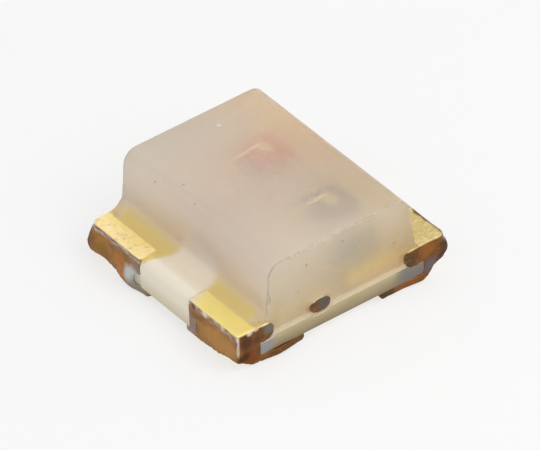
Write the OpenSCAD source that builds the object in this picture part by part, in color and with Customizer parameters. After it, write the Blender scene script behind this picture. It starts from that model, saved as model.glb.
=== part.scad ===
// Two-colour chip LED: four plated corner terminals on a thin white laminate,
// two dies with bond wires, and a moulded milky lens sawn flush with the laminate.

/* [Package] */
// Length over the terminals, along X
package_l = 1.60; // [1.50:0.05:2.00]
// Width between the sawn sides, along Y
package_w = 1.50; // [1.40:0.05:1.90]

/* [Laminate] */
// Thickness of the bare laminate
core_t = 0.105; // [0.085:0.005:0.200]

/* [Terminals] */
// Thickness of the plated copper on top of the laminate
foil_t = 0.12; // [0.09:0.01:0.15]
// Length of a corner pad on top, in from the end
corner_pad_l = 0.30; // [0.27:0.01:0.34]
// Gap between the two corner pads of one end
pad_gap = 0.50; // [0.46:0.01:0.56]
// Thickness of the plated copper of a solder pad
solder_pad_t = 0.065; // [0.045:0.005:0.090]
// Length of a solder pad underneath, in from the end
solder_pad_l = 0.50; // [0.40:0.01:0.60]
// Gap between the two solder pads of one end
solder_gap = 0.42; // [0.36:0.01:0.48]
// Half width of the copper-filled slot that the saw cuts lengthwise
plug_l = 0.17; // [0.12:0.01:0.20]
// Half length of the copper-filled slot
plug_w = 0.43; // [0.36:0.01:0.44]
// Depth of the dimple that the filling leaves underneath
dimple_depth = 0.08; // [0.04:0.01:0.12]
// Width of the plating tail that runs to the sawn side
tail_w = 0.16; // [0.08:0.01:0.20]
// Drop of the copper film that the saw drags down the cut faces
smear_drop = 0.020; // [0.010:0.005:0.040]

/* [Dies] */
// Side of a square die
die_side = 0.26; // [0.22:0.01:0.28]
// Height of a die
die_h = 0.15; // [0.10:0.01:0.18]
// Distance of the dies from the middle, along X
die_x = 0.25; // [0.23:0.01:0.28]
// Spacing of the two dies, along Y
die_pitch = 0.66; // [0.60:0.01:0.70]

/* [Bond wires] */
// Diameter of the gold wire
wire_d = 0.025; // [0.018:0.001:0.030]
// Height of the straight neck above the ball
neck_h = 0.045; // [0.030:0.005:0.060]
// Length of the nearly level run of the loop
loop_run = 0.17; // [0.14:0.01:0.20]

/* [Lens] */
// Height of the lens above the terminals
lens_h = 0.41; // [0.38:0.01:0.60]
// Distance from the end of the package to the foot of the lens wall
wall_inset = 0.225; // [0.200:0.005:0.250]
// Slope of the end walls, in degrees from upright
lens_draft = 6; // [3:0.5:10]
// Radius of the two long top edges
top_round = 0.10; // [0.04:0.01:0.14]
// Radius of the hollow fillet at the foot of the end walls
foot_round = 0.10; // [0.05:0.01:0.12]

/* [Hidden] */
// levels, from the solder pads up
core_z = solder_pad_t;
pad_z = core_z + core_t;
top_z = pad_z + foil_t;
lens_z = top_z + lens_h;

// copper on the laminate
corner_pad_w = (package_w - pad_gap) / 2;
solder_pad_w = (package_w - solder_gap) / 2;
smear_d = 0.008;
smear_lap = 0.02;
dimple_rim_w = 0.02;

// dies, their adhesive and contacts
die_y = die_pitch / 2;
attach_line = 0.012;
attach_rise = 0.045;
attach_w = 0.03;
attach_top_w = 0.004;
mesa_w = 0.012;
mesa_h = 0.03;
contact_d = 0.10;
contact_t = 0.004;
die_z = top_z + attach_line;
contact_z = die_z + die_h;

// bond pads start close to the sawn side, hold the adhesive with a margin
// and end short of the middle
bond_margin_w = 0.04;
bond_margin_l = 0.01;
bond_end = package_l / 2 - die_x + die_side / 2 + attach_w + bond_margin_l;
bond_near = 0.09;
bond_far = package_w / 2 - die_y + die_side / 2 + attach_w + bond_margin_w;
// where the inner edge of a corner pad turns at 45 degrees towards its bond pad
neck_l = 0.15;

// the wire rises from its ball, turns over, runs nearly level and falls to its bond pad
ball_d = 0.066;
ball_h = 0.018;
ball_edge_d = 0.058;
ball_waist_h = 0.006;
ball_top_d = 0.060;
ball_top_h = 0.014;
ball_neck_d = 0.037;
ball_neck_h = 0.006;
ball_z = contact_z + contact_t;
neck_z = ball_z + ball_h + ball_neck_h + neck_h;
loop_bend = 0.045;
fall_bend = 0.10;
run_fall = 12;
end_fall = 50;
over = [die_x - loop_bend, neck_z];
run_a = over + loop_bend * [-sin(run_fall), cos(run_fall)];
run_b = run_a - loop_run * [cos(run_fall), sin(run_fall)];
fall = run_b + fall_bend * [sin(run_fall), -cos(run_fall)];
fall_a = fall + fall_bend * [-sin(end_fall), cos(end_fall)];
fall_l = (fall_a[1] - top_z) / sin(end_fall);
stitch_x = fall_a[0] - fall_l * cos(end_fall);
stitch_l = 0.07;
stitch_w = 0.06;
stitch_tip_h = 0.005;

// end wall of the lens: a thin lip on the pads, a hollow foot, a slope and a rounded edge
wall_x = package_l / 2 - wall_inset;
lip_angle = 256;
foot_c = [wall_x + foot_round * (1 - sin(lens_draft)) / cos(lens_draft), top_z + foot_round];
round_x = wall_x - (top_round + (lens_h - top_round) * sin(lens_draft)) / cos(lens_draft);
round_c = [round_x, lens_z - top_round];
lip_x = foot_c[0] + foot_round * cos(lip_angle);

$fn = 48;

function arc(c, r, from, to, n) =
    [for (i = [0 : n]) let (a = from + (to - from) * i / n) c + r * [cos(a), sin(a)]];

// Corner frame: u runs in from the end, v runs in from the sawn side
module at_corner(left, front) {
    mirror([left ? 1 : 0, 0, 0])
        mirror([0, front ? 1 : 0, 0])
            translate([package_l / 2, package_w / 2, 0])
                rotate(180)
                    children();
}

// Film of dragged copper below the cut edge of a pad, in the sawn side
module smear(from, to) {
    mid = (from + to) / 2;
    half = (to - from) / 2;
    translate([0, smear_d, pad_z])
        rotate([90, 0, 0])
            linear_extrude(smear_d)
                polygon(concat(
                    [[from, foil_t / 2]],
                    [for (a = [180 : -15 : 0]) [mid + half * cos(a), -smear_drop * sin(a)]],
                    [[to, foil_t / 2]]
                ));
}

// Copper inside the laminate: a quarter of the filled slot and the dragged films
module plug(tail) {
    h = core_t + (solder_pad_t + foil_t) / 2;
    translate([0, 0, core_z - solder_pad_t / 2]) {
        cube([plug_l, plug_w - plug_l, h]);
        translate([0, plug_w - plug_l, 0])
            intersection() {
                cylinder(h = h, r = plug_l);
                cube([plug_l, plug_l, h]);
            }
    }
    smear(plug_l - smear_lap, corner_pad_l);
    mirror([1, -1, 0])
        smear(plug_w - smear_lap, corner_pad_w);
    if (tail)
        smear(bond_end - tail_w, bond_end);
}

// Copper on the top face: corner pad, bond pad and plating tail
module top_copper(tail) {
    translate([0, 0, pad_z])
        linear_extrude(foil_t)
            polygon([
                [0, 0], [corner_pad_l, 0], [corner_pad_l, bond_near], [bond_end, bond_near],
                [bond_end, bond_far], [neck_l + bond_far - corner_pad_w, bond_far],
                [neck_l, corner_pad_w], [0, corner_pad_w]
            ]);
    if (tail)
        translate([bond_end - tail_w, 0, pad_z])
            cube([tail_w, bond_near + smear_lap, foil_t]);
}

// Hollow that the filling leaves underneath, deepest at the corner
module dimple() {
    reach = plug_l + dimple_rim_w;
    r = (reach * reach + dimple_depth * dimple_depth) / (2 * dimple_depth);
    translate([0, 0, dimple_depth - r])
        rotate([-90, 0, 0])
            rotate_extrude()
                polygon([[0, -reach], [r, -reach], [r, 0], [r - dimple_depth, plug_w], [0, plug_w]]);
}

module terminal(left, front) {
    at_corner(left, front)
        difference() {
            union() {
                top_copper(left);
                plug(left);
                cube([solder_pad_l, solder_pad_w, solder_pad_t]);
            }
            dimple();
        }
}

module substrate() {
    color("#e8dfca")
        difference() {
            translate([-package_l / 2, -package_w / 2, core_z])
                cube([package_l, package_w, core_t]);
            for (left = [false, true], front = [false, true])
                at_corner(left, front)
                    plug(left);
        }
}

module red_cathode_terminal() {
    color("#e6cd86") terminal(false, false);
}

module green_cathode_terminal() {
    color("#e6cd86") terminal(false, true);
}

module red_anode_terminal() {
    color("#e6cd86") terminal(true, false);
}

module green_anode_terminal() {
    color("#e6cd86") terminal(true, true);
}

// A die with its etched mesa upwards
module die(y) {
    inner = die_side - 2 * mesa_w;
    translate([die_x - die_side / 2, y - die_side / 2, die_z])
        cube([die_side, die_side, die_h - mesa_h]);
    translate([die_x - inner / 2, y - inner / 2, die_z + die_h - mesa_h])
        cube([inner, inner, mesa_h]);
}

// Adhesive: the bond line under a die and the fillet round its foot
module die_attach(y) {
    difference() {
        translate([die_x, y, top_z])
            rotate(45)
                cylinder(
                    h = attach_rise,
                    r1 = (die_side / 2 + attach_w) * sqrt(2),
                    r2 = (die_side / 2 + attach_top_w) * sqrt(2),
                    $fn = 4
                );
        translate([die_x - die_side / 2, y - die_side / 2, die_z])
            cube([die_side, die_side, die_h]);
    }
}

module die_contact(y) {
    translate([die_x, y, contact_z])
        cylinder(h = contact_t, d = contact_d);
}

// Straight length of wire in the XZ plane from p along a heading
module rod(p, heading, length) {
    translate([p[0], 0, p[1]])
        rotate([0, 90 - heading, 0])
            cylinder(h = length, d = wire_d, $fn = 24);
}

// Bend of the wire in the XZ plane about p, between two angles
module bend(p, r, from, to) {
    translate([p[0], 0, p[1]])
        rotate([90, 0, 0])
            rotate([0, 0, from])
                rotate_extrude(angle = to - from)
                    translate([r, 0])
                        circle(d = wire_d, $fn = 24);
}

// Squashed ball on the contact, drawn in to the wire
module ball() {
    translate([die_x, 0, ball_z])
        rotate_extrude()
            polygon([
                [0, 0], [ball_edge_d / 2, 0], [ball_d / 2, ball_waist_h], [ball_top_d / 2, ball_top_h],
                [ball_neck_d / 2, ball_h], [wire_d / 2, ball_h + ball_neck_h], [0, ball_h + ball_neck_h]
            ]);
}

// Flattened end pressed on the bond pad
module stitch() {
    translate([stitch_x, stitch_w / 2, top_z])
        rotate([90, 0, 0])
            linear_extrude(stitch_w)
                polygon([
                    [wire_d * 1.2, 0], [wire_d * 0.6, wire_d], [-stitch_l, stitch_tip_h], [-stitch_l, 0]
                ]);
}

module bond_wire(y) {
    translate([0, y, 0]) {
        ball();
        rod([die_x, neck_z - neck_h], 90, neck_h);
        bend(over, loop_bend, 0, 90 + run_fall);
        rod(run_a, 180 + run_fall, loop_run);
        bend(fall, fall_bend, 90 + run_fall, 90 + end_fall);
        intersection() {
            rod(fall_a, 180 + end_fall, fall_l + wire_d);
            translate([-package_l / 2, -package_w / 2, top_z])
                cube([package_l, package_w, lens_h]);
        }
        stitch();
    }
}

module red_die_attach() {
    color("#b9b6b0") die_attach(die_y);
}

module green_die_attach() {
    color("#b9b6b0") die_attach(-die_y);
}

module red_die() {
    color("#a4553f") die(die_y);
}

module green_die() {
    color("#6d6a62") die(-die_y);
}

module red_die_contact() {
    color("#e2c26a") die_contact(die_y);
}

module green_die_contact() {
    color("#e2c26a") die_contact(-die_y);
}

module red_bond_wire() {
    color("#e2c26a") bond_wire(die_y);
}

module green_bond_wire() {
    color("#e2c26a") bond_wire(-die_y);
}

// Moulded block across the width, with the resin that ran out between the corner pads
module lens_block() {
    wall = concat(
        arc(foot_c, foot_round, lip_angle, 180 + lens_draft, 8),
        arc(round_c, top_round, lens_draft, 90, 8)
    );
    other = [for (i = [len(wall) - 1 : -1 : 0]) [-wall[i][0], wall[i][1]]];
    translate([0, package_w / 2, 0])
        rotate([90, 0, 0])
            linear_extrude(package_w)
                polygon(concat([[lip_x, pad_z]], wall, other, [[-lip_x, pad_z]]));
    translate([-package_l / 2, -pad_gap / 2, pad_z])
        cube([package_l, pad_gap, foil_t]);
}

module lens() {
    color("#d2c4ae")
        difference() {
            lens_block();
            for (left = [false, true], front = [false, true])
                at_corner(left, front)
                    top_copper(left);
            for (y = [-die_y, die_y]) {
                die_attach(y);
                die(y);
                die_contact(y);
                bond_wire(y);
            }
        }
}

substrate();
red_cathode_terminal();
green_cathode_terminal();
red_anode_terminal();
green_anode_terminal();
red_die_attach();
green_die_attach();
red_die();
green_die();
red_die_contact();
green_die_contact();
red_bond_wire();
green_bond_wire();
lens();
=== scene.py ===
import math
import bpy
import bmesh
from mathutils import Matrix, Vector


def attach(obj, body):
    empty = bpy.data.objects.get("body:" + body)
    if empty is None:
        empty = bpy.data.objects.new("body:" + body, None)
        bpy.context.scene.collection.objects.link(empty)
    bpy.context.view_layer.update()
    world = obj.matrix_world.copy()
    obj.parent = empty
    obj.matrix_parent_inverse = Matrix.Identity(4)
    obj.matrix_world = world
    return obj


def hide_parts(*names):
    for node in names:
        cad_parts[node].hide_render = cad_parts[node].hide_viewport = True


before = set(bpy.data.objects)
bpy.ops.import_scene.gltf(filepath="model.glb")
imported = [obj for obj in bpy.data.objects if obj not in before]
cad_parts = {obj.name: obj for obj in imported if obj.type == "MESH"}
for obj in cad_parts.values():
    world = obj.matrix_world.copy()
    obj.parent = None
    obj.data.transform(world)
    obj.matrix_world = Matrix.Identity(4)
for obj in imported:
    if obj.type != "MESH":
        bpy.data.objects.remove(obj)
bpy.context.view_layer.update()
scene = bpy.context.scene
scene.view_settings.view_transform = "Standard"
mm = 0.001
near = 0.001        # mm: closer than this is the same place when edges and faces are picked
straight = 0.9      # a normal with this much of an axis in it faces along that axis
print("frame loaded:", len(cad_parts), "nodes")


def toLinear(hexText):
    # sRGB hex to the linear colour that a socket wants
    parts = [int(hexText[i:i + 2], 16) / 255 for i in (1, 3, 5)]
    return tuple(c / 12.92 if c <= 0.04045 else ((c + 0.055) / 1.055) ** 2.4 for c in parts) + (1.0,)


def addNode(tree, kind, settings=None, values=None, links=None):
    node = tree.nodes.new(kind)
    for key, value in (settings or {}).items():
        setattr(node, key, value)
    for key, value in (values or {}).items():
        node.inputs[key].default_value = value
    for key, source in (links or {}).items():
        tree.links.new(source, node.inputs[key])
    return node


def newMaterial(name):
    material = bpy.data.materials.new(name)
    material.use_nodes = True
    material.node_tree.nodes.clear()
    return material, material.node_tree


def pick(piece, faces=None, edges=None):
    # selects by place or normal, in edit mode
    bpy.ops.mesh.select_mode(type="FACE" if faces else "EDGE")
    bpy.ops.mesh.select_all(action="DESELECT")
    mesh = bmesh.from_edit_mesh(piece.data)
    for face in mesh.faces:
        if faces and faces(face.calc_center_median(), face.normal):
            face.select_set(True)
    for edge in mesh.edges:
        if edges and edges(edge.verts[0].co, edge.verts[1].co):
            edge.select_set(True)
    bmesh.update_edit_mesh(piece.data)


def only(piece):
    bpy.ops.object.select_all(action="DESELECT")
    piece.select_set(True)
    bpy.context.view_layer.objects.active = piece


def finishPiece(piece, name, node, material, smoothAngle):
    # pieces are drawn in millimetres and brought to metres here
    piece.name = piece.data.name = name
    only(piece)
    piece.scale = (mm, mm, mm)
    bpy.ops.object.transform_apply(location=True, rotation=True, scale=True)
    bpy.ops.object.shade_smooth_by_angle(angle=math.radians(smoothAngle))
    piece.data.materials.clear()
    piece.data.materials.append(material)
    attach(piece, "root")
    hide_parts(node)


def dress(nodeName, material):
    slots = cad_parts[nodeName].data.materials
    slots.clear()
    slots.append(material)


def seenItself(tree):
    # 1 where a ray looks at the white itself, 0 where the white only lights something
    path = addNode(tree, "ShaderNodeLightPath").outputs
    seen = path["Is Camera Ray"]
    for kind in ("Is Glossy Ray", "Is Transmission Ray"):
        seen = addNode(tree, "ShaderNodeMath", {"operation": "MAXIMUM"}, None,
                       {0: seen, 1: path[kind]}).outputs[0]
    return seen


# the photo's view: angles in degrees, places in mm, a long lens from far off
cameraSet = {
    "azimuth": -35.27, "elevation": 38.28, "roll": 2.89,
    "distance": 60.0, "lens": 648.6, "sensor": 36.0, "clip": (1.0, 10000.0),
    "aim": (0.0, 0.0, 0.362), "right": 0.016, "down": 0.047,
}
turn, tilt, roll = (math.radians(cameraSet[k]) for k in ("azimuth", "elevation", "roll"))
back = Vector((math.sin(turn) * math.cos(tilt), -math.cos(turn) * math.cos(tilt), math.sin(tilt)))
side = Vector((math.cos(turn), math.sin(turn), 0))
rise = back.cross(side)
camRight = side * math.cos(roll) - rise * math.sin(roll)
camUp = side * math.sin(roll) + rise * math.cos(roll)
aim = Vector(cameraSet["aim"]) + camRight * cameraSet["right"] - camUp * cameraSet["down"]
bpy.ops.object.camera_add(location=(aim + back * cameraSet["distance"]) * mm)
camera = bpy.context.object
camera.rotation_euler = Matrix((camRight, camUp, back)).transposed().to_euler()
camera.data.lens = cameraSet["lens"]
camera.data.sensor_width = cameraSet["sensor"]
camera.data.clip_start, camera.data.clip_end = (c * mm for c in cameraSet["clip"])
scene.camera = camera

# a white room: plain white where it is seen, a little softer where it lights; sizes in mm
lightSet = {
    "room": 0.70, "lamp": (6.0, -18.0, 24.0), "size": 24.0, "power": 0.0034,
    "floor": 500.0, "paper": (0.9, 0.9, 0.9, 1), "glow": 0.65,
}
white = (1, 1, 1, 1)
world = bpy.data.worlds.new("whiteRoom")
scene.world = world
world.use_nodes = True
tree = world.node_tree
tree.nodes.clear()
lighting = addNode(tree, "ShaderNodeBackground", None, {"Color": white, "Strength": lightSet["room"]})
shown = addNode(tree, "ShaderNodeBackground", None, {"Color": white, "Strength": 1.0})
either = addNode(tree, "ShaderNodeMixShader", None, None,
                 {0: seenItself(tree), 1: lighting.outputs[0], 2: shown.outputs[0]})
addNode(tree, "ShaderNodeOutputWorld", None, None, {"Surface": either.outputs[0]})

# one wide soft lamp above and in front
bpy.ops.object.light_add(type="AREA", location=Vector(lightSet["lamp"]) * mm)
lamp = bpy.context.object
lamp.name = "softLamp"
lamp.data.shape = "DISK"
lamp.data.size = lightSet["size"] * mm
lamp.data.energy = lightSet["power"]
lamp.rotation_euler = Vector(lightSet["lamp"]).to_track_quat("Z", "Y").to_euler()

# milky resin needs the light to bounce many times inside it
scene.cycles.max_bounces = 64
scene.cycles.volume_bounces = 32
scene.cycles.transmission_bounces = 32
scene.cycles.glossy_bounces = 32
scene.cycles.diffuse_bounces = 16
scene.cycles.blur_glossy = 0        # the blur takes light away inside the resin

bpy.ops.mesh.primitive_plane_add(size=lightSet["floor"] * mm)
floor = bpy.context.object
floor.name = "floor"
# white card under the part: bright where it is seen, and it still takes a soft shadow
whitePaper, tree = newMaterial("whitePaper")
share = addNode(tree, "ShaderNodeMath", {"operation": "MULTIPLY"}, {1: lightSet["glow"]},
                {0: seenItself(tree)}).outputs[0]
paper = addNode(tree, "ShaderNodeBsdfDiffuse", None, {"Color": lightSet["paper"]})
glow = addNode(tree, "ShaderNodeEmission", None, {"Color": white, "Strength": 1.0})
both = addNode(tree, "ShaderNodeMixShader", None, None, {0: share, 1: paper.outputs[0], 2: glow.outputs[0]})
addNode(tree, "ShaderNodeOutputMaterial", None, None, {"Surface": both.outputs[0]})
floor.data.materials.append(whitePaper)
print("camera, light and floor ready")


def millimetres(tree):
    # place on the part in mm, for every pattern
    place = addNode(tree, "ShaderNodeTexCoord").outputs["Object"]
    return addNode(tree, "ShaderNodeVectorMath", {"operation": "SCALE"}, {"Scale": 1 / mm},
                   {0: place}).outputs[0]


def blot(tree, place, centre, size, strength):
    # soft round mask: centre and half sizes in mm
    away = addNode(tree, "ShaderNodeVectorMath", {"operation": "SUBTRACT"}, {1: centre},
                   {0: place}).outputs[0]
    away = addNode(tree, "ShaderNodeVectorMath", {"operation": "DIVIDE"}, {1: size}, {0: away}).outputs[0]
    away = addNode(tree, "ShaderNodeVectorMath", {"operation": "LENGTH"}, None, {0: away}).outputs["Value"]
    return addNode(tree, "ShaderNodeMapRange", {"interpolation_type": "SMOOTHSTEP"},
                   {"From Min": 1.0, "From Max": 0.35, "To Max": strength}, {"Value": away}).outputs[0]


def paintSpots(tree, inMm, base, spots, wander=0.05):
    # patches with ragged edges: (centre in mm, radius or half sizes, colour, strength);
    # the edge wanders by this many mm, in waves of 0.055 mm
    ragged = addNode(tree, "ShaderNodeTexNoise", None, {"Scale": 18.0, "Detail": 3.0},
                     {"Vector": inMm}).outputs["Color"]
    moved = addNode(tree, "ShaderNodeVectorMath", {"operation": "MULTIPLY_ADD"},
                    {1: (wander,) * 3, 2: (-wander / 2,) * 3}, {0: ragged}).outputs[0]
    there = addNode(tree, "ShaderNodeVectorMath", {"operation": "ADD"}, None,
                    {0: inMm, 1: moved}).outputs[0]
    for centre, size, hexText, strength in spots:
        inside = blot(tree, there, centre, size if isinstance(size, tuple) else (size,) * 3, strength)
        base = addNode(tree, "ShaderNodeMix", {"data_type": "RGBA"}, {7: toLinear(hexText)},
                       {0: inside, 6: base}).outputs[2]
    return base


def speckled(tree, scale, detail, dark, light):
    # two shades of one colour, mixed by a fine grain
    grain = addNode(tree, "ShaderNodeTexNoise", None, {"Scale": scale, "Detail": detail},
                    {"Vector": millimetres(tree)}).outputs[0]
    return addNode(tree, "ShaderNodeMix", {"data_type": "RGBA"}, {6: toLinear(dark), 7: toLinear(light)},
                   {0: grain}).outputs[2]


grainDepth = 0.01 * mm      # relief of every bump

# diffused epoxy, moulded against blasted steel and sawn on two sides: milky and matt,
# what is inside shows as a blur, the sawn sides are rougher with faint blade marks
milkyResin, tree = newMaterial("milkyResin")
inMm = millimetres(tree)
normal = addNode(tree, "ShaderNodeNewGeometry").outputs["Normal"]
facing = addNode(tree, "ShaderNodeSeparateXYZ", None, None, {0: normal}).outputs
across = addNode(tree, "ShaderNodeMath", {"operation": "ABSOLUTE"}, None, {0: facing["Y"]}).outputs[0]
sawn = addNode(tree, "ShaderNodeMapRange", {"interpolation_type": "SMOOTHSTEP"},
               {"From Min": 0.75, "From Max": 0.97}, {"Value": across}).outputs[0]
# blade marks: 0.02 mm apart up the side, drawn out along it
bladeMap = addNode(tree, "ShaderNodeMapping", None, {"Scale": (0.25, 1.0, 1.0)},
                   {"Vector": inMm}).outputs[0]
blade = addNode(tree, "ShaderNodeTexNoise", None, {"Scale": 45.0, "Detail": 3.0, "Roughness": 0.6},
                {"Vector": bladeMap}).outputs[0]
grain = addNode(tree, "ShaderNodeTexNoise", None, {"Scale": 40.0, "Detail": 3.0, "Roughness": 0.6},
                {"Vector": inMm}).outputs[0]           # blasted mould grain, 0.025 mm
bladeCut = addNode(tree, "ShaderNodeMath", {"operation": "MULTIPLY"}, None, {0: blade, 1: sawn}).outputs[0]
relief = addNode(tree, "ShaderNodeMath", {"operation": "ADD"}, None, {0: grain, 1: bladeCut}).outputs[0]
bump = addNode(tree, "ShaderNodeBump", None, {"Strength": 0.15, "Distance": grainDepth},
               {"Height": relief}).outputs[0]
# a few specks of dust and nicks where they lie on the part: (centre in mm, half sizes, colour, strength)
speckSet = [
    ((-0.447, 0.241, 0.700), (0.013, 0.010, 0.02), "#8d7c69", 0.7),
    ((-0.470, 0.246, 0.700), (0.010, 0.010, 0.02), "#f3ebdc", 0.7),
    ((-0.497, 0.062, 0.680), (0.011, 0.011, 0.02), "#a69684", 0.7),
    ((-0.528, 0.400, 0.660), (0.014, 0.014, 0.02), "#f3ebdc", 0.7),
    ((-0.530, 0.430, 0.655), (0.009, 0.009, 0.02), "#9c8b78", 0.7),
    ((0.078, 0.573, 0.700), (0.020, 0.020, 0.02), "#f3ebdc", 0.6),
    ((-0.257, -0.749, 0.573), (0.014, 0.02, 0.022), "#877a68", 0.6),
    ((-0.125, -0.749, 0.451), (0.012, 0.02, 0.016), "#94866f", 0.5),
    ((0.406, -0.749, 0.406), (0.030, 0.02, 0.009), "#877a68", 0.7),
    ((-0.546, -0.749, 0.455), (0.012, 0.02, 0.060), "#877a68", 0.6),
    ((-0.330, -0.749, 0.400), (0.012, 0.02, 0.020), "#9a8c76", 0.4),
    ((0.020, -0.749, 0.620), (0.014, 0.02, 0.014), "#94866f", 0.5),
]
# painted shade greys the resin to the left and the back; it is also yellower and a little darker to the
# right, and duller where it is sawn
xyz = addNode(tree, "ShaderNodeSeparateXYZ", None, None, {0: inMm}).outputs
toLeft = addNode(tree, "ShaderNodeMapRange", {"interpolation_type": "SMOOTHSTEP"},
                 {"From Min": -0.20, "From Max": -0.55}, {"Value": xyz["X"]}).outputs[0]
toBack = addNode(tree, "ShaderNodeMapRange", {"interpolation_type": "SMOOTHSTEP"},
                 {"From Min": 0.10, "From Max": 0.60}, {"Value": xyz["Y"]}).outputs[0]
shadeToEdge = addNode(tree, "ShaderNodeMath", {"operation": "MAXIMUM"}, None, {0: toLeft, 1: toBack}).outputs[0]
dustAndPaintedLight = addNode(tree, "ShaderNodeMix", {"data_type": "RGBA"},
                {6: toLinear("#ffffff"), 7: toLinear("#eeeff2")}, {0: shadeToEdge}).outputs[2]
dustAndPaintedLight = addNode(tree, "ShaderNodeMix", {"data_type": "RGBA"}, {7: toLinear("#eeeee0")},
                {0: sawn, 6: dustAndPaintedLight}).outputs[2]
toRight = addNode(tree, "ShaderNodeMapRange", {"interpolation_type": "SMOOTHSTEP"},
                  {"From Min": 0.05, "From Max": 0.45}, {"Value": xyz["X"]}).outputs[0]
dustAndPaintedLight = addNode(tree, "ShaderNodeMix", {"data_type": "RGBA"}, {7: toLinear("#f3e9d6")},
                {0: toRight, 6: dustAndPaintedLight}).outputs[2]
covers = []         # masks of all that hides the resin's clearness
for spot, size, hexText, strength in speckSet:
    inside = blot(tree, inMm, spot, size, strength)
    covers.append(inside)
    dustAndPaintedLight = addNode(tree, "ShaderNodeMix", {"data_type": "RGBA"}, {7: toLinear(hexText)},
                    {0: inside, 6: dustAndPaintedLight}).outputs[2]
# along the sawn edge runs a thin broken line, darker than the resin beside it
flatNormal = addNode(tree, "ShaderNodeNewGeometry").outputs["True Normal"]
lean = addNode(tree, "ShaderNodeSeparateXYZ", None, None, {0: flatNormal}).outputs["Y"]
lean = addNode(tree, "ShaderNodeMath", {"operation": "ABSOLUTE"}, None, {0: lean}).outputs[0]
edge = addNode(tree, "ShaderNodeMapRange", None, {"From Min": 0.05, "From Max": 0.15},
               {"Value": lean}).outputs[0]
falling = addNode(tree, "ShaderNodeMapRange", None, {"From Min": 0.99, "From Max": 0.97},
                  {"Value": lean}).outputs[0]
edge = addNode(tree, "ShaderNodeMath", {"operation": "MULTIPLY"}, None, {0: edge, 1: falling}).outputs[0]
edgeBreaks = addNode(tree, "ShaderNodeMapRange", None, {"From Min": 0.35, "From Max": 0.65},
                {"Value": grain}).outputs[0]
darkEdgeLine = addNode(tree, "ShaderNodeMix", {"data_type": "RGBA"},
                  {6: toLinear("#b0a28d"), 7: toLinear("#d0c2ab")}, {0: edgeBreaks}).outputs[2]
dustAndPaintedLight = addNode(tree, "ShaderNodeMix", {"data_type": "RGBA"}, None,
                {0: edge, 6: dustAndPaintedLight, 7: darkEdgeLine}).outputs[2]
# just above the board the sawn side has a pale yellow line
lowest = addNode(tree, "ShaderNodeMapRange", {"interpolation_type": "SMOOTHSTEP"},
                 {"From Min": 0.225, "From Max": 0.185, "To Max": 0.40}, {"Value": xyz["Z"]}).outputs[0]
lowest = addNode(tree, "ShaderNodeMath", {"operation": "MULTIPLY"}, None, {0: lowest, 1: sawn}).outputs[0]
dustAndPaintedLight = addNode(tree, "ShaderNodeMix", {"data_type": "RGBA"}, {7: toLinear("#dad0a6")},
                {0: lowest, 6: dustAndPaintedLight}).outputs[2]
# the left foot is thin: the gold of the pads shows through it, and cream between them;
# the edge of the back pad runs inwards at a slant from the corner of the board
padSlant, boardEnd = 0.6, 0.80
slant = addNode(tree, "ShaderNodeMath", {"operation": "MULTIPLY_ADD"},
                {1: padSlant, 2: padSlant * boardEnd}, {0: xyz["X"]}).outputs[0]
slanted = addNode(tree, "ShaderNodeMath", {"operation": "ADD"}, None, {0: xyz["Y"], 1: slant}).outputs[0]
farY = addNode(tree, "ShaderNodeMath", {"operation": "ABSOLUTE"}, None, {0: xyz["Y"]}).outputs[0]
fromMiddle = addNode(tree, "ShaderNodeMath", {"operation": "MAXIMUM"}, None,
                     {0: farY, 1: slanted}).outputs[0]
onPad = addNode(tree, "ShaderNodeMapRange", {"interpolation_type": "SMOOTHSTEP"},
                {"From Min": 0.220, "From Max": 0.285}, {"Value": fromMiddle}).outputs[0]
goldUp = addNode(tree, "ShaderNodeMapRange", {"interpolation_type": "SMOOTHSTEP"},
                 {"From Min": 0.425, "From Max": 0.300, "To Max": 0.85}, {"Value": xyz["Z"]}).outputs[0]
creamUp = addNode(tree, "ShaderNodeMapRange", {"interpolation_type": "SMOOTHSTEP"},
                  {"From Min": 0.540, "From Max": 0.320, "To Max": 0.85}, {"Value": xyz["Z"]}).outputs[0]
foot = addNode(tree, "ShaderNodeMix", {"data_type": "FLOAT"}, None,
               {0: onPad, 2: creamUp, 3: goldUp}).outputs[0]
footIn = addNode(tree, "ShaderNodeMapRange", {"interpolation_type": "SMOOTHSTEP"},
                 {"From Min": -0.535, "From Max": -0.585}, {"Value": xyz["X"]}).outputs[0]
footEnd = addNode(tree, "ShaderNodeMapRange", {"interpolation_type": "SMOOTHSTEP"},
                  {"From Min": 0.745, "From Max": 0.640}, {"Value": farY}).outputs[0]
for part in (footIn, footEnd):
    foot = addNode(tree, "ShaderNodeMath", {"operation": "MULTIPLY"}, None, {0: foot, 1: part}).outputs[0]
footTint = addNode(tree, "ShaderNodeMix", {"data_type": "RGBA"},
                   {6: toLinear("#f6e8cc"), 7: toLinear("#e4c654")}, {0: onPad}).outputs[2]
dustAndPaintedLight = addNode(tree, "ShaderNodeMix", {"data_type": "RGBA"}, None,
                {0: foot, 6: dustAndPaintedLight, 7: footTint}).outputs[2]
# the tongues at the ends lie thin over the board and are all but solid cream,
# with the gold of the back pad over the edge of the left one
farX = addNode(tree, "ShaderNodeMath", {"operation": "ABSOLUTE"}, None, {0: xyz["X"]}).outputs[0]
film = addNode(tree, "ShaderNodeMapRange", {"interpolation_type": "SMOOTHSTEP"},
               {"From Min": 0.640, "From Max": 0.730, "To Max": 0.95}, {"Value": farX}).outputs[0]
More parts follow.
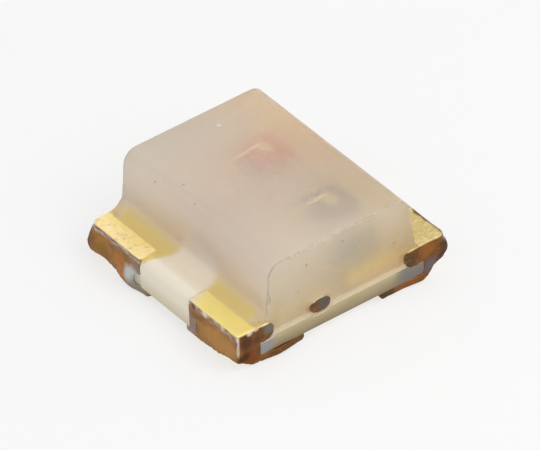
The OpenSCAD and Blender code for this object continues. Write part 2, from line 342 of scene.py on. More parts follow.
# the skin is darker towards the bottom
height = addNode(tree, "ShaderNodeMapRange", None, {"From Min": 0.07, "From Max": 0.19},
                 {"Value": xyz["Z"]}).outputs[0]
skin = addNode(tree, "ShaderNodeMix", {"data_type": "RGBA"},
               {6: toLinear("#dccfae"), 7: toLinear("#f9f0dc")}, {0: height}).outputs[2]
overlap = addNode(tree, "ShaderNodeMapRange", {"interpolation_type": "SMOOTHSTEP"},
                  {"From Min": 0.220, "From Max": 0.250}, {"Value": slanted}).outputs[0]
onTop = addNode(tree, "ShaderNodeMapRange", None, {"From Min": 0.245, "From Max": 0.270},
                {"Value": xyz["Z"]}).outputs[0]
for part in (onTop, footIn):
    overlap = addNode(tree, "ShaderNodeMath", {"operation": "MULTIPLY"}, None,
                      {0: overlap, 1: part}).outputs[0]
skin = addNode(tree, "ShaderNodeMix", {"data_type": "RGBA"}, {7: toLinear("#e9cf78")},
               {0: overlap, 6: skin}).outputs[2]
dustAndPaintedLight = addNode(tree, "ShaderNodeMix", {"data_type": "RGBA"}, None, {0: film, 6: dustAndPaintedLight, 7: skin}).outputs[2]
# the blade leaves a little frost on the sawn sides
frost = addNode(tree, "ShaderNodeMapRange", None,
                {"From Min": 0.35, "From Max": 0.75, "To Max": 0.10}, {"Value": blade}).outputs[0]
frost = addNode(tree, "ShaderNodeMath", {"operation": "MULTIPLY"}, None, {0: frost, 1: sawn}).outputs[0]
solid = frost
for cover in covers + [edge, lowest, foot, film]:
    solid = addNode(tree, "ShaderNodeMath", {"operation": "MAXIMUM"}, None, {0: solid, 1: cover}).outputs[0]
through = addNode(tree, "ShaderNodeMath", {"operation": "SUBTRACT"}, {0: 1.0}, {1: solid}).outputs[0]
matt = addNode(tree, "ShaderNodeMapRange", None, {"To Min": 0.36, "To Max": 0.46},
               {"Value": sawn}).outputs[0]
resin = addNode(tree, "ShaderNodeBsdfPrincipled", None, {"IOR": 1.5}, {
    "Base Color": dustAndPaintedLight, "Roughness": matt, "Transmission Weight": through, "Normal": bump})
haze = addNode(tree, "ShaderNodeVolumeScatter", None, {
    "Color": toLinear("#fdfaf5"), "Density": 4300.0, "Anisotropy": 0.2})     # light goes about 0.2 mm
stain = addNode(tree, "ShaderNodeVolumeAbsorption", None, {"Color": toLinear("#d0b189"), "Density": 400.0})
body = addNode(tree, "ShaderNodeAddShader", None, None, {0: haze.outputs[0], 1: stain.outputs[0]})
addNode(tree, "ShaderNodeOutputMaterial", None, None,
        {"Surface": resin.outputs[0], "Volume": body.outputs[0]})

# glass-epoxy laminate: white on its faces, cream and layered by its cloth where it is sawn, darker on the
# long sides and grey beside the copper as painted shade, browned in one place where copper was dragged over
# it
whiteLaminate, tree = newMaterial("whiteLaminate")
inMm = millimetres(tree)
xyz = addNode(tree, "ShaderNodeSeparateXYZ", None, None, {0: inMm}).outputs
normal = addNode(tree, "ShaderNodeNewGeometry").outputs["Normal"]
facing = addNode(tree, "ShaderNodeSeparateXYZ", None, None, {0: normal}).outputs
onEnd = addNode(tree, "ShaderNodeMath", {"operation": "ABSOLUTE"}, None, {0: facing["X"]}).outputs[0]
onFace = addNode(tree, "ShaderNodeMath", {"operation": "ABSOLUTE"}, None, {0: facing["Z"]}).outputs[0]
# cloth: layers 0.03 mm thick, long along the board
layerMap = addNode(tree, "ShaderNodeMapping", None, {"Scale": (0.14, 0.14, 1.0)},
                   {"Vector": inMm}).outputs[0]
layers = addNode(tree, "ShaderNodeTexNoise", None, {"Scale": 30.0, "Detail": 4.0, "Roughness": 0.65},
                 {"Vector": layerMap}).outputs[0]
wobble = addNode(tree, "ShaderNodeMath", {"operation": "MULTIPLY_ADD"}, {1: 0.06, 2: -0.03},
                 {0: layers}).outputs[0]
height = addNode(tree, "ShaderNodeMath", {"operation": "ADD"}, None, {0: xyz["Z"], 1: wobble}).outputs[0]
upper = addNode(tree, "ShaderNodeMapRange", {"interpolation_type": "SMOOTHSTEP"},
                {"From Min": 0.09, "From Max": 0.17}, {"Value": height}).outputs[0]
lowest = addNode(tree, "ShaderNodeMapRange", {"interpolation_type": "SMOOTHSTEP"},
                 {"From Min": 0.105, "From Max": 0.065, "To Max": 0.7}, {"Value": height}).outputs[0]
# painted shade: the long sides take a darker copy of the cream than the ends. Both darken towards the
# bottom.
shadedSideCream = addNode(tree, "ShaderNodeMix", {"data_type": "RGBA"},
                    {6: toLinear("#9b8a68"), 7: toLinear("#b9aa82")}, {0: upper}).outputs[2]
litEndCream = addNode(tree, "ShaderNodeMix", {"data_type": "RGBA"},
                   {6: toLinear("#cfc6aa"), 7: toLinear("#e6ddc6")}, {0: upper}).outputs[2]
cream = addNode(tree, "ShaderNodeMix", {"data_type": "RGBA"}, None,
                {0: onEnd, 6: shadedSideCream, 7: litEndCream}).outputs[2]
cream = addNode(tree, "ShaderNodeMix", {"data_type": "RGBA"}, {7: toLinear("#7d6e5a")},
                {0: lowest, 6: cream}).outputs[2]
# painted shade: the grey patches lie where the copper pads keep the light out of the board; the brownish
# patch on the left end by the front pad is copper dragged over it
cream = paintSpots(tree, inMm, cream, [
    ((-0.600, -0.750, 0.130), 0.110, "#8b8c90", 0.85),
    ((0.560, -0.750, 0.110), 0.200, "#6f696c", 0.85),
    ((-0.800, 0.350, 0.140), 0.110, "#b4b4b4", 0.80),
    ((-0.800, -0.290, 0.115), 0.120, "#8f7464", 0.95),
    ((-0.600, 0.750, 0.130), 0.120, "#8f8a84", 0.80),
    ((0.600, 0.750, 0.120), 0.130, "#8f8a84", 0.80),
    ((0.800, 0.330, 0.130), 0.090, "#b2aea6", 0.70),
    ((0.800, -0.330, 0.130), 0.090, "#b2aea6", 0.70),
])
board = addNode(tree, "ShaderNodeMix", {"data_type": "RGBA"},
                {6: toLinear("#f6ead6"), 7: toLinear("#fbf3e4")}, {0: layers}).outputs[2]
cream = addNode(tree, "ShaderNodeMix", {"data_type": "RGBA"}, None,
                {0: onFace, 6: cream, 7: board}).outputs[2]
bump = addNode(tree, "ShaderNodeBump", None, {"Strength": 0.25, "Distance": grainDepth},
               {"Height": layers}).outputs[0]
laminate = addNode(tree, "ShaderNodeBsdfPrincipled", None, {"Roughness": 0.58},
                   {"Base Color": cream, "Normal": bump})
addNode(tree, "ShaderNodeOutputMaterial", None, None, {"Surface": laminate.outputs[0]})

# gold flash over nickel and copper: pale, dented gold where it is plated, and bare copper browned partly by
# tarnish and partly by painted shade, with a few bright flecks, painted as glints, where the saw went
# through it
goldPlate, tree = newMaterial("goldPlate")
inMm = millimetres(tree)
xyz = addNode(tree, "ShaderNodeSeparateXYZ", None, None, {0: inMm}).outputs
farX = addNode(tree, "ShaderNodeMath", {"operation": "ABSOLUTE"}, None, {0: xyz["X"]}).outputs[0]
farY = addNode(tree, "ShaderNodeMath", {"operation": "ABSOLUTE"}, None, {0: xyz["Y"]}).outputs[0]
normal = addNode(tree, "ShaderNodeNewGeometry").outputs["Normal"]
facing = addNode(tree, "ShaderNodeSeparateXYZ", None, None, {0: normal}).outputs
flat = addNode(tree, "ShaderNodeMath", {"operation": "ABSOLUTE"}, None, {0: facing["Z"]}).outputs[0]
upright = addNode(tree, "ShaderNodeMapRange", {"interpolation_type": "SMOOTHSTEP"},
                  {"From Min": 0.85, "From Max": 0.6}, {"Value": flat}).outputs[0]
# bare copper: the outer rim where the saw went, and the upright faces of the solder pads;
# the plating wraps the top edge, and the ledge of a pad that was pushed out is bare
endCut = addNode(tree, "ShaderNodeMapRange", None, {"From Min": 0.780, "From Max": 0.790},
                 {"Value": farX}).outputs[0]
sideCut = addNode(tree, "ShaderNodeMapRange", None, {"From Min": 0.730, "From Max": 0.740},
                  {"Value": farY}).outputs[0]
padFace = addNode(tree, "ShaderNodeMapRange", None, {"From Min": 0.080, "From Max": 0.065},
                  {"Value": xyz["Z"]}).outputs[0]
rim = addNode(tree, "ShaderNodeMath", {"operation": "MAXIMUM"}, None, {0: endCut, 1: sideCut}).outputs[0]
ledge = addNode(tree, "ShaderNodeMapRange", None, {"From Min": 0.120, "From Max": 0.090},
                {"Value": xyz["Z"]}).outputs[0]
ledge = addNode(tree, "ShaderNodeMath", {"operation": "MULTIPLY"}, None, {0: rim, 1: ledge}).outputs[0]
wrapped = addNode(tree, "ShaderNodeMapRange", None, {"From Min": 0.286, "From Max": 0.274},
                  {"Value": xyz["Z"]}).outputs[0]
cut = addNode(tree, "ShaderNodeMath", {"operation": "MAXIMUM"}, None, {0: rim, 1: padFace}).outputs[0]
for part in (upright, wrapped):
    cut = addNode(tree, "ShaderNodeMath", {"operation": "MULTIPLY"}, None, {0: cut, 1: part}).outputs[0]
cut = addNode(tree, "ShaderNodeMath", {"operation": "MAXIMUM"}, None, {0: cut, 1: ledge}).outputs[0]
# plating: paler and scuffed towards the end, in patches of 0.07 mm, yellow where the resin kept it clean
patches = addNode(tree, "ShaderNodeTexNoise", None, {"Scale": 14.0, "Detail": 3.0, "Roughness": 0.55},
                  {"Vector": inMm}).outputs[0]
patches = addNode(tree, "ShaderNodeMapRange", None,
                  {"From Min": 0.35, "From Max": 0.65, "To Min": -0.35, "To Max": 0.35},
                  {"Value": patches}).outputs[0]
outer = addNode(tree, "ShaderNodeMapRange", None, {"From Min": 0.64, "From Max": 0.76},
                {"Value": farX}).outputs[0]
outer = addNode(tree, "ShaderNodeMath", {"operation": "ADD", "use_clamp": True}, None,
                {0: outer, 1: patches}).outputs[0]
golden = addNode(tree, "ShaderNodeMix", {"data_type": "RGBA"},
                 {6: toLinear("#f4e298"), 7: toLinear("#f8e6b0")}, {0: outer}).outputs[2]
# painted shade dulls and darkens the front pad at the right end
golden = paintSpots(tree, inMm, golden, [((0.74, -0.55, 0.29), (0.40, 0.55, 0.20), "#cfbb82", 0.85)])
# bright rubbed patches and dark scuffs, about 0.035 mm across
bright = addNode(tree, "ShaderNodeTexNoise", None, {"Scale": 30.0, "Detail": 3.0, "Distortion": 0.8},
                 {"Vector": inMm}).outputs[0]
bright = addNode(tree, "ShaderNodeMapRange", None,
                 {"From Min": 0.48, "From Max": 0.66, "To Max": 0.35}, {"Value": bright}).outputs[0]
golden = addNode(tree, "ShaderNodeMix", {"data_type": "RGBA"}, {7: toLinear("#fdf3cf")},
                 {0: bright, 6: golden}).outputs[2]
scuffs = addNode(tree, "ShaderNodeTexNoise", None,
                 {"Scale": 26.0, "Detail": 3.0, "Roughness": 0.6, "Distortion": 0.4},
                 {"Vector": inMm}).outputs[0]
scuffs = addNode(tree, "ShaderNodeMapRange", None,
                 {"From Min": 0.52, "From Max": 0.76, "To Max": 0.5}, {"Value": scuffs}).outputs[0]
scuffs = addNode(tree, "ShaderNodeMath", {"operation": "MULTIPLY"}, None, {0: scuffs, 1: outer}).outputs[0]
golden = addNode(tree, "ShaderNodeMix", {"data_type": "RGBA"}, {7: toLinear("#a98b4e")},
                 {0: scuffs, 6: golden}).outputs[2]
# painted light brightens and yellows the front pad at the left end; a pale patch lies where the cream laps
# its inner end, and a dark line runs along the top of the right end
golden = paintSpots(tree, inMm, golden, [
    ((-0.72, -0.55, 0.29), (0.30, 0.40, 0.20), "#efdf90", 0.90),
    ((0.803, -0.50, 0.29), (0.032, 0.42, 0.05), "#6b5536", 0.85),
    ((-0.80, -0.245, 0.29), (0.17, 0.085, 0.06), "#e9dec8", 0.95),
])
# further in the milk hides the gold, and the low edges of the foil look pale through it
deep = addNode(tree, "ShaderNodeMapRange", {"interpolation_type": "SMOOTHSTEP"},
               {"From Min": -0.660, "From Max": -0.530}, {"Value": xyz["X"]}).outputs[0]
away = addNode(tree, "ShaderNodeMapRange", {"interpolation_type": "SMOOTHSTEP"},
               {"From Min": 0.150, "From Max": -0.050}, {"Value": xyz["X"]}).outputs[0]
above = addNode(tree, "ShaderNodeMapRange", None, {"From Min": 0.10, "From Max": 0.16},
                {"Value": xyz["Z"]}).outputs[0]
for part in (away, above):
    deep = addNode(tree, "ShaderNodeMath", {"operation": "MULTIPLY"}, None, {0: deep, 1: part}).outputs[0]
golden = addNode(tree, "ShaderNodeMix", {"data_type": "RGBA"}, {7: toLinear("#efe3c6")},
                 {0: deep, 6: golden}).outputs[2]
low = addNode(tree, "ShaderNodeMapRange", None, {"From Min": 0.245, "From Max": 0.215},
              {"Value": xyz["Z"]}).outputs[0]
for part in (upright, above):
    low = addNode(tree, "ShaderNodeMath", {"operation": "MULTIPLY"}, None, {0: low, 1: part}).outputs[0]
golden = addNode(tree, "ShaderNodeMix", {"data_type": "RGBA"}, {7: toLinear("#efe4c8")},
                 {0: low, 6: golden}).outputs[2]
# cut copper: brown, in smears 0.08 mm long; the brown is partly tarnish and partly painted shade for the
# dim surroundings its upright faces mirror, and the sawn sides get a darker, redder copy as painted shade
smearMap = addNode(tree, "ShaderNodeMapping", None, {"Scale": (0.5, 0.5, 1.0)}, {"Vector": inMm}).outputs[0]
smears = addNode(tree, "ShaderNodeTexNoise", None, {"Scale": 18.0, "Detail": 4.0, "Roughness": 0.6},
                 {"Vector": smearMap}).outputs[0]
smears = addNode(tree, "ShaderNodeMapRange", None, {"From Min": 0.35, "From Max": 0.65},
                 {"Value": smears}).outputs[0]
brownAndShaded = addNode(tree, "ShaderNodeMix", {"data_type": "RGBA"},
                  {6: toLinear("#876035"), 7: toLinear("#a97b40")}, {0: smears}).outputs[2]
redderShaded = addNode(tree, "ShaderNodeMix", {"data_type": "RGBA"},
                  {6: toLinear("#66452c"), 7: toLinear("#8a5c34")}, {0: smears}).outputs[2]
copper = addNode(tree, "ShaderNodeMix", {"data_type": "RGBA"}, None,
                 {0: sideCut, 6: brownAndShaded, 7: redderShaded}).outputs[2]
copper = paintSpots(tree, inMm, copper, [
    ((-0.800, 0.480, 0.150), 0.080, "#b5722f", 0.80),
    ((-0.810, 0.640, 0.130), 0.090, "#8f6a33", 0.70),
    ((-0.800, 0.740, 0.160), 0.070, "#7a5a45", 0.80),
    ((-0.800, 0.300, 0.190), 0.080, "#8f7d70", 0.80),
    ((-0.800, 0.345, 0.110), 0.100, "#c4c4c2", 0.95),
    ((-0.800, 0.445, 0.080), 0.060, "#b9763f", 0.85),
    ((0.810, -0.750, 0.220), 0.070, "#4d4030", 0.85),
    ((-0.800, 0.280, 0.040), 0.120, "#8d877a", 0.90),
    ((-0.800, -0.260, 0.040), 0.070, "#a08d84", 0.85),
    ((-0.800, -0.260, 0.150), 0.070, "#8d7570", 0.85),
    ((-0.800, -0.560, 0.140), (0.10, 0.26, 0.12), "#bb8b4a", 0.75),
    ((-0.720, -0.750, 0.090), 0.090, "#84491f", 0.80),
    ((-0.560, -0.750, 0.250), 0.070, "#77766a", 0.90),
    ((0.660, -0.750, 0.230), 0.080, "#9a6630", 0.80),
    ((0.520, -0.750, 0.210), 0.060, "#5d4a33", 0.85),
    ((0.680, -0.750, 0.110), 0.070, "#6d686c", 0.90),
    ((0.780, -0.750, 0.130), 0.080, "#4a3b30", 0.85),
    ((-0.140, -0.750, 0.240), 0.090, "#665f54", 0.90),
    ((-0.240, -0.750, 0.170), 0.045, "#93703f", 0.80),
    ((0.500, -0.750, 0.030), 0.120, "#96602f", 0.60),
    ((-0.450, -0.750, 0.030), 0.160, "#6f4a24", 0.80),
    ((0.330, -0.750, 0.030), 0.080, "#54432c", 0.85),
    ((-0.330, -0.750, 0.030), 0.070, "#6b5334", 0.80),
])
# bright flecks of torn metal, painted lighter as glints
glintFlecks = addNode(tree, "ShaderNodeTexNoise", None,
                 {"Scale": 22.0, "Detail": 4.0, "Roughness": 0.7, "Distortion": 1.0},
                 {"Vector": inMm}).outputs[0]
glintFlecks = addNode(tree, "ShaderNodeMapRange", None,
                 {"From Min": 0.64, "From Max": 0.74, "To Max": 0.6}, {"Value": glintFlecks}).outputs[0]
copper = addNode(tree, "ShaderNodeMix", {"data_type": "RGBA"}, {7: toLinear("#d4ab68")},
                 {0: glintFlecks, 6: copper}).outputs[2]
# the section of the foil shows as a pinkish grey line, with painted glints in places
foil = addNode(tree, "ShaderNodeMapRange", {"interpolation_type": "SMOOTHSTEP"},
               {"From Min": 0.225, "From Max": 0.260, "To Max": 0.8}, {"Value": xyz["Z"]}).outputs[0]
foil = addNode(tree, "ShaderNodeMath", {"operation": "MULTIPLY"}, None, {0: foil, 1: endCut}).outputs[0]
lineMap = addNode(tree, "ShaderNodeMapping", None, {"Scale": (0.35, 0.35, 1.0)},
                  {"Vector": inMm}).outputs[0]
lines = addNode(tree, "ShaderNodeTexNoise", None, {"Scale": 50.0, "Detail": 3.0},
                {"Vector": lineMap}).outputs[0]
lines = addNode(tree, "ShaderNodeMapRange", None, {"From Min": 0.38, "From Max": 0.68},
                {"Value": lines}).outputs[0]
section = addNode(tree, "ShaderNodeMix", {"data_type": "RGBA"},
                  {6: toLinear("#86695a"), 7: toLinear("#d8cac0")}, {0: lines}).outputs[2]
copper = addNode(tree, "ShaderNodeMix", {"data_type": "RGBA"}, None,
                 {0: foil, 6: copper, 7: section}).outputs[2]
# a painted highlight runs down one corner, darker patches lie on the sawn side beside it, and lumps stand
# along the top edges
copper = paintSpots(tree, inMm, copper, [
    ((-0.804, -0.754, 0.250), (0.022, 0.022, 0.060), "#f6efe6", 0.95),
    ((-0.803, -0.753, 0.175), (0.015, 0.015, 0.080), "#e0c8ae", 0.70),
    ((-0.740, -0.752, 0.210), (0.060, 0.02, 0.080), "#553623", 0.75),
    ((-0.760, -0.752, 0.110), (0.070, 0.02, 0.050), "#3f2a1c", 0.70),
    ((-0.705, -0.752, 0.280), 0.036, "#e9dcd6", 0.85),
    ((-0.655, -0.752, 0.284), 0.030, "#e3d3d6", 0.80),
    ((-0.803, -0.420, 0.272), 0.036, "#e9dccf", 0.80),
    ((-0.803, -0.600, 0.268), 0.028, "#e2cfc4", 0.70),
    ((-0.803, -0.300, 0.262), 0.036, "#6a4a38", 0.80),
], wander=0.016)
colour = addNode(tree, "ShaderNodeMix", {"data_type": "RGBA"}, None,
                 {0: cut, 6: golden, 7: copper}).outputs[2]
dull = addNode(tree, "ShaderNodeMapRange", None, {"To Min": 0.70, "To Max": 0.50},
               {"Value": cut}).outputs[0]
bumpy = addNode(tree, "ShaderNodeMix", {"data_type": "FLOAT"}, None,
                {0: cut, 2: outer, 3: smears}).outputs[0]
bump = addNode(tree, "ShaderNodeBump", None, {"Strength": 0.25, "Distance": grainDepth},
               {"Height": bumpy}).outputs[0]
gold = addNode(tree, "ShaderNodeBsdfPrincipled", None, {"Metallic": 1.0},
               {"Base Color": colour, "Roughness": dull, "Normal": bump})
addNode(tree, "ShaderNodeOutputMaterial", None, None, {"Surface": gold.outputs[0]})

# sawn semiconductor crystal with a faint saw grain of 0.03 mm: one red all over,
# one dark grey with a light top that partly shows its metal and is partly a painted highlight
redCrystal, tree = newMaterial("redCrystal")
tint = speckled(tree, 30.0, 3.0, "#c23c1e", "#dc5a36")
crystal = addNode(tree, "ShaderNodeBsdfPrincipled", None, {"Roughness": 0.4}, {"Base Color": tint})
addNode(tree, "ShaderNodeOutputMaterial", None, None, {"Surface": crystal.outputs[0]})

greyCrystal, tree = newMaterial("greyCrystal")
tint = speckled(tree, 30.0, 3.0, "#1c1c20", "#323236")
# painted highlight: the top faces are lightened towards gold
normal = addNode(tree, "ShaderNodeNewGeometry").outputs["Normal"]
onTop = addNode(tree, "ShaderNodeSeparateXYZ", None, None, {0: normal}).outputs["Z"]
onTop = addNode(tree, "ShaderNodeMapRange", None, {"From Min": 0.3, "From Max": 0.7, "To Max": 0.3},
                {"Value": onTop}).outputs[0]
tint = addNode(tree, "ShaderNodeMix", {"data_type": "RGBA"}, {7: toLinear("#9c844f")},
               {0: onTop, 6: tint}).outputs[2]
crystal = addNode(tree, "ShaderNodeBsdfPrincipled", None, {"Roughness": 0.4}, {"Base Color": tint})
addNode(tree, "ShaderNodeOutputMaterial", None, None, {"Surface": crystal.outputs[0]})

# silver-filled adhesive: dull grey, glinting a little with flakes of 0.012 mm
silverPaste, tree = newMaterial("silverPaste")
tint = speckled(tree, 80.0, 2.0, "#5d5a55", "#7d7971")
paste = addNode(tree, "ShaderNodeBsdfPrincipled", None, {"Roughness": 0.5, "Metallic": 0.6},
                {"Base Color": tint})
addNode(tree, "ShaderNodeOutputMaterial", None, None, {"Surface": paste.outputs[0]})

# drawn gold wire and its sputtered contact: clean and bright, hardly marked
brightGold, tree = newMaterial("brightGold")
tint = speckled(tree, 60.0, 2.0, "#fbe6a8", "#fff4d0")
wire = addNode(tree, "ShaderNodeBsdfPrincipled", None, {"Roughness": 0.25, "Metallic": 1.0},
               {"Base Color": tint})
addNode(tree, "ShaderNodeOutputMaterial", None, None, {"Surface": wire.outputs[0]})

dress("substrate", whiteLaminate)
for nodeName in ("red_die_attach", "green_die_attach"):
    dress(nodeName, silverPaste)
dress("red_die", redCrystal)
dress("green_die", greyCrystal)
for nodeName in ("red_die_contact", "green_die_contact", "red_bond_wire", "green_bond_wire"):
    dress(nodeName, brightGold)
print("materials ready")


# lens: a slab, the resin tongues at its ends, and the block drawn up from it; its levels are a hair
# off those of the board and the copper, so that no two faces lie in one plane
lensSet = {
    "wallFoot": 0.575, "halfWidth": 0.7485, "end": 0.8015, "tongue": 0.25,
    "under": 0.165, "padTop": 0.2912, "top": 0.70, "draft": 6.0,
    "topRound": 0.090, "sawEdge": 0.010, "sawEdgeFrom": 0.06, "tongueRound": 0.080,
    "skin": 0.8003, "skinFoot": 0.068, "flatWithin": 0.5, "smoothAngle": 35,
    # the resin runs out in a wide foot on the left and stops short on the right
    "lip": {-1: 0.668, 1: 0.594}, "footRound": {-1: 0.090, 1: 0.016},
}
s = lensSet
lipLeft, lipRight = s["lip"][-1], s["lip"][1]
bpy.ops.mesh.primitive_cube_add(
    size=1, location=((lipRight - lipLeft) / 2, 0, (s["under"] + s["padTop"]) / 2))
lens = bpy.context.object
lens.scale = (lipRight + lipLeft, 2 * s["halfWidth"], s["padTop"] - s["under"])
bpy.ops.object.transform_apply(location=True, rotation=True, scale=True)
bpy.ops.object.mode_set(mode="EDIT")
for way, lip in s["lip"].items():
    for y in (-s["tongue"], s["tongue"]):
        pick(lens, faces=lambda c, n: c.x * way > lip - near)
        bpy.ops.mesh.bisect(plane_co=(0, y, 0), plane_no=(0, 1, 0))
    pick(lens, faces=lambda c, n: c.x * way > lip - near and abs(c.y) < s["tongue"])
    bpy.ops.mesh.extrude_region_move(TRANSFORM_OT_translate={"value": (way * (s["end"] - lip), 0, 0)})
    # a skin of resin runs down over the sawn end of the board
    pick(lens, faces=lambda c, n: c.x * way > lip and n.z < -straight)
    bpy.ops.mesh.bisect(plane_co=(way * s["skin"], 0, 0), plane_no=(1, 0, 0))
    pick(lens, faces=lambda c, n: c.x * way > s["skin"] and n.z < -straight)
    bpy.ops.mesh.extrude_region_move(TRANSFORM_OT_translate={"value": (0, 0, s["skinFoot"] - s["under"])})
for x in (-s["wallFoot"], s["wallFoot"]):
    pick(lens, faces=lambda c, n: n.z > straight)
    bpy.ops.mesh.bisect(plane_co=(x, 0, 0), plane_no=(1, 0, 0))
pick(lens, faces=lambda c, n: abs(c.x) < s["wallFoot"] - near and n.z > straight)
bpy.ops.mesh.extrude_region_move(TRANSFORM_OT_translate={"value": (0, 0, s["top"] - s["padTop"])})
narrow = 1 - (s["top"] - s["padTop"]) * math.tan(math.radians(s["draft"])) / s["wallFoot"]
bpy.ops.transform.resize(value=(narrow, 1, 1), center_override=(0, 0, s["top"]))
bpy.ops.mesh.select_all(action="SELECT")
bpy.ops.mesh.dissolve_limited(angle_limit=math.radians(s["flatWithin"]))       # each sawn side one face
pick(lens, edges=lambda a, b: min(a.z, b.z) > s["top"] - near and abs(a.x - b.x) < near)
bpy.ops.mesh.bevel(offset=s["topRound"], segments=12, affect="EDGES")
for way, footRound in s["footRound"].items():
    pick(lens, edges=lambda a, b: abs(a.z - s["padTop"]) < near and abs(b.z - s["padTop"]) < near
         and abs(a.x * way - s["wallFoot"]) < near and abs(a.x - b.x) < near)
    bpy.ops.mesh.bevel(offset=footRound, segments=10, affect="EDGES")
pick(lens, edges=lambda a, b: abs(a.y) > s["halfWidth"] - near and abs(a.y - b.y) < near
     and max(a.z, b.z) > s["padTop"] + s["sawEdgeFrom"])
bpy.ops.mesh.bevel(offset=s["sawEdge"], segments=4, affect="EDGES")
pick(lens, edges=lambda a, b: min(abs(a.x), abs(b.x)) > s["end"] - near
     and min(a.z, b.z) > s["padTop"] - near)
bpy.ops.mesh.bevel(offset=s["tongueRound"], segments=6, affect="EDGES")
bpy.ops.mesh.select_all(action="SELECT")
bpy.ops.mesh.normals_make_consistent(inside=False)
bpy.ops.object.mode_set(mode="OBJECT")
finishPiece(lens, "lensBody", "lens", milkyResin, s["smoothAngle"])
bpy.ops.object.modifier_add(type="WEIGHTED_NORMAL")
lens.modifiers[0].keep_sharp = True
bpy.ops.object.modifier_apply(modifier=lens.modifiers[0].name)
print("lens ready:", len(lens.data.polygons), "faces")


# terminals: the plated copper, its cut faces dragged, rounded and dented as soft metal is
terminalSet = {
    "merge": 0.0002, "flatWithin": 1.0, "voxel": 0.007, "soften": 0.5, "softenTimes": 5, "smoothAngle": 60,
    "side": 0.75, "end": 0.80, "top": 0.29, "padEnd": 0.30, "padRound": 0.035,
    # cut copper of a pad and of a tail: width and half height of its rounded end, and the box
    # that takes the square end away first
    "pad": (0.12, 0.0685), "tail": (0.162, 0.054), "cutMiddle": 0.2215, "proud": 0.004, "depth": 0.06,
    "boxBefore": 0.03, "boxPast": 0.04, "boxIn": 0.018, "boxDeep": 0.055, "boxHigh": 0.20,
    # dents and pits, full on the cut faces and faded out before the plated ones
    "dent": 0.012, "dentSize": 0.08, "pit": 0.006, "pitSize": 0.025, "dentLevel": 0.45,
    "rimDeep": 0.05, "rimFade": 0.04, "edgeGap": 0.005, "topFade": 0.03, "lowFade": 0.04,
    # how far in from the end the cut copper of each pad and tail reaches along the sawn side
    "cutEnds": {
        "red_anode_terminal": {"pad": 0.30, "tail": 0.715},
        "green_anode_terminal": {"pad": 0.275, "tail": 0.715},
        "red_cathode_terminal": {"pad": 0.31}, "green_cathode_terminal": {"pad": 0.32},
    },
    # bulges of dragged copper: (where, push in mm, reach)
    "bulges": {
        "red_anode_terminal": [
            ((-0.80, 0.75, 0.15), (-0.040, 0.028, 0.0), 0.17),
            ((-0.80, 0.38, 0.04), (-0.022, 0.0, 0.0), 0.16)],
        "green_anode_terminal": [
            ((-0.80, -0.75, 0.15), (-0.006, -0.006, 0.0), 0.12),
            ((-0.71, -0.75, 0.05), (0.0, -0.004, -0.035), 0.10),
            ((-0.48, -0.75, 0.03), (0.0, -0.018, 0.0), 0.16)],
        "red_cathode_terminal": [
            ((0.80, 0.75, 0.15), (0.018, 0.014, 0.0), 0.15)],
        "green_cathode_terminal": [
            ((0.80, -0.75, 0.18), (0.032, -0.020, 0.0), 0.15),
            ((0.60, -0.75, 0.03), (0.0, -0.010, 0.0), 0.14),
            ((0.79, -0.745, 0.08), (-0.004, 0.003, 0.035), 0.15)],
    },
    # how round each sawn corner is worn
    "cornerRound": {
        "red_anode_terminal": 0.045, "green_anode_terminal": 0.010,
        "red_cathode_terminal": 0.030, "green_cathode_terminal": 0.055,
    },
}
s = terminalSet
dents = bpy.data.textures.new("dents", "CLOUDS")
dents.noise_scale = s["dentSize"]
dents.noise_depth = 2
pits = bpy.data.textures.new("pits", "CLOUDS")
pits.noise_scale = s["pitSize"]
pits.noise_depth = 1
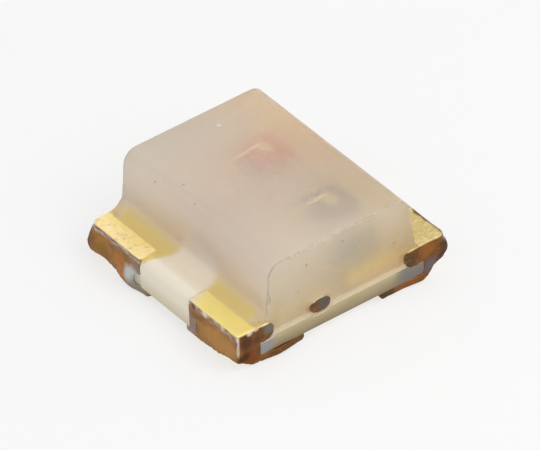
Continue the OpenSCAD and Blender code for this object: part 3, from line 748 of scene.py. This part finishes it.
for nodeName in ("red_cathode_terminal", "green_cathode_terminal",
                 "red_anode_terminal", "green_anode_terminal"):
    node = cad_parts[nodeName]
    only(node)
    bpy.ops.object.duplicate()
    terminal = bpy.context.object
    terminal.scale = (1 / mm, 1 / mm, 1 / mm)
    bpy.ops.object.transform_apply(location=True, rotation=True, scale=True)
    corner = terminal.data.vertices[0].co
    wayX, wayY = math.copysign(1, corner.x), math.copysign(1, corner.y)
    bpy.ops.object.mode_set(mode="EDIT")
    bpy.ops.mesh.select_all(action="SELECT")
    bpy.ops.mesh.remove_doubles(threshold=s["merge"])
    bpy.ops.mesh.dissolve_limited(angle_limit=math.radians(s["flatWithin"]))
    pick(terminal, edges=lambda a, b: max(a.z, b.z) < near and (
        max(abs(a.x), abs(b.x)) < s["padEnd"] + near or min(abs(a.x), abs(b.x)) > s["end"] - near
        or min(abs(a.y), abs(b.y)) > s["side"] - near))
    bpy.ops.mesh.bevel(offset=s["padRound"], segments=4, affect="EDGES")
    pick(terminal, edges=lambda a, b: min(abs(a.x), abs(b.x)) > s["end"] - near
         and min(abs(a.y), abs(b.y)) > s["side"] - near)
    bpy.ops.mesh.bevel(offset=s["cornerRound"][nodeName], segments=6, affect="EDGES")
    bpy.ops.object.mode_set(mode="OBJECT")
    # where the saw cut through pad and tail the copper is dragged out to a rounded end
    for kind, far in s["cutEnds"][nodeName].items():
        width, half = s[kind]
        start = far - width - s["boxBefore"] if kind == "tail" else far - width / 2
        stop = far + s["boxPast"]
        bpy.ops.mesh.primitive_cube_add(size=1, location=(
            wayX * (s["end"] - (start + stop) / 2), wayY * (s["side"] - s["boxIn"]), s["cutMiddle"]))
        cutter = bpy.context.object
        cutter.scale = (stop - start, s["boxDeep"], s["boxHigh"])
        bpy.ops.object.transform_apply(location=True, rotation=True, scale=True)
        only(terminal)
        bpy.ops.object.modifier_add(type="BOOLEAN")
        terminal.modifiers[-1].operation = "DIFFERENCE"
        terminal.modifiers[-1].object = cutter
        bpy.ops.object.modifier_apply(modifier=terminal.modifiers[-1].name)
        bpy.data.objects.remove(cutter)
        middleX, middleY = s["end"] - far + width / 2, s["side"] + s["proud"] - s["depth"] / 2
        bpy.ops.mesh.primitive_cylinder_add(
            vertices=32, radius=1, depth=s["depth"], rotation=(math.radians(90), 0, 0),
            location=(wayX * middleX, wayY * middleY, s["cutMiddle"]))
        bpy.context.object.scale = (width / 2, half, 1)
        bpy.ops.object.transform_apply(location=True, rotation=True, scale=True)
        terminal.select_set(True)
        bpy.context.view_layer.objects.active = terminal
        bpy.ops.object.join()
        terminal = bpy.context.object
    bpy.ops.object.modifier_add(type="REMESH")
    terminal.modifiers[-1].mode = "VOXEL"
    terminal.modifiers[-1].voxel_size = s["voxel"]
    bpy.ops.object.modifier_add(type="SMOOTH")
    terminal.modifiers[-1].factor = s["soften"]
    terminal.modifiers[-1].iterations = s["softenTimes"]
    for change in list(terminal.modifiers):
        bpy.ops.object.modifier_apply(modifier=change.name)
    # only the cut faces are dented, the plating stays flat under the resin
    cutFaces = terminal.vertex_groups.new(name="cutFaces")
    for vertex in terminal.data.vertices:
        rim = max(abs(vertex.co.x) - s["end"], abs(vertex.co.y) - s["side"])
        rimShare = min(1, max(0, (rim + s["rimDeep"]) / s["rimFade"]))
        topShare = min(1, max(0, (s["top"] + s["edgeGap"] - vertex.co.z) / s["topFade"]))
        lowShare = min(1, max(0, (vertex.co.z + s["edgeGap"]) / s["lowFade"]))
        cutFaces.add([vertex.index], rimShare * topShare * lowShare, "REPLACE")
    for texture, strength in ((dents, s["dent"]), (pits, s["pit"])):
        bpy.ops.object.modifier_add(type="DISPLACE")
        change = terminal.modifiers[-1]
        change.texture = texture
        change.texture_coords = "LOCAL"
        change.vertex_group = "cutFaces"
        change.strength = strength
        change.mid_level = s["dentLevel"]
        bpy.ops.object.modifier_apply(modifier=change.name)
    for target, push, reach in s["bulges"][nodeName]:
        nearest = min(terminal.data.vertices, key=lambda v: (v.co - Vector(target)).length).index
        bpy.ops.object.mode_set(mode="EDIT")
        bpy.ops.mesh.select_mode(type="VERT")
        bpy.ops.mesh.select_all(action="DESELECT")
        mesh = bmesh.from_edit_mesh(terminal.data)
        mesh.verts.ensure_lookup_table()
        mesh.verts[nearest].select_set(True)
        bmesh.update_edit_mesh(terminal.data)
        bpy.ops.transform.translate(value=push, use_proportional_edit=True,
                                    proportional_edit_falloff="SMOOTH", proportional_size=reach)
        bpy.ops.object.mode_set(mode="OBJECT")
    terminal.vertex_groups.clear()
    finishPiece(terminal, nodeName + "Metal", nodeName, goldPlate, s["smoothAngle"])
    print("terminal ready:", nodeName, len(terminal.data.polygons), "faces")
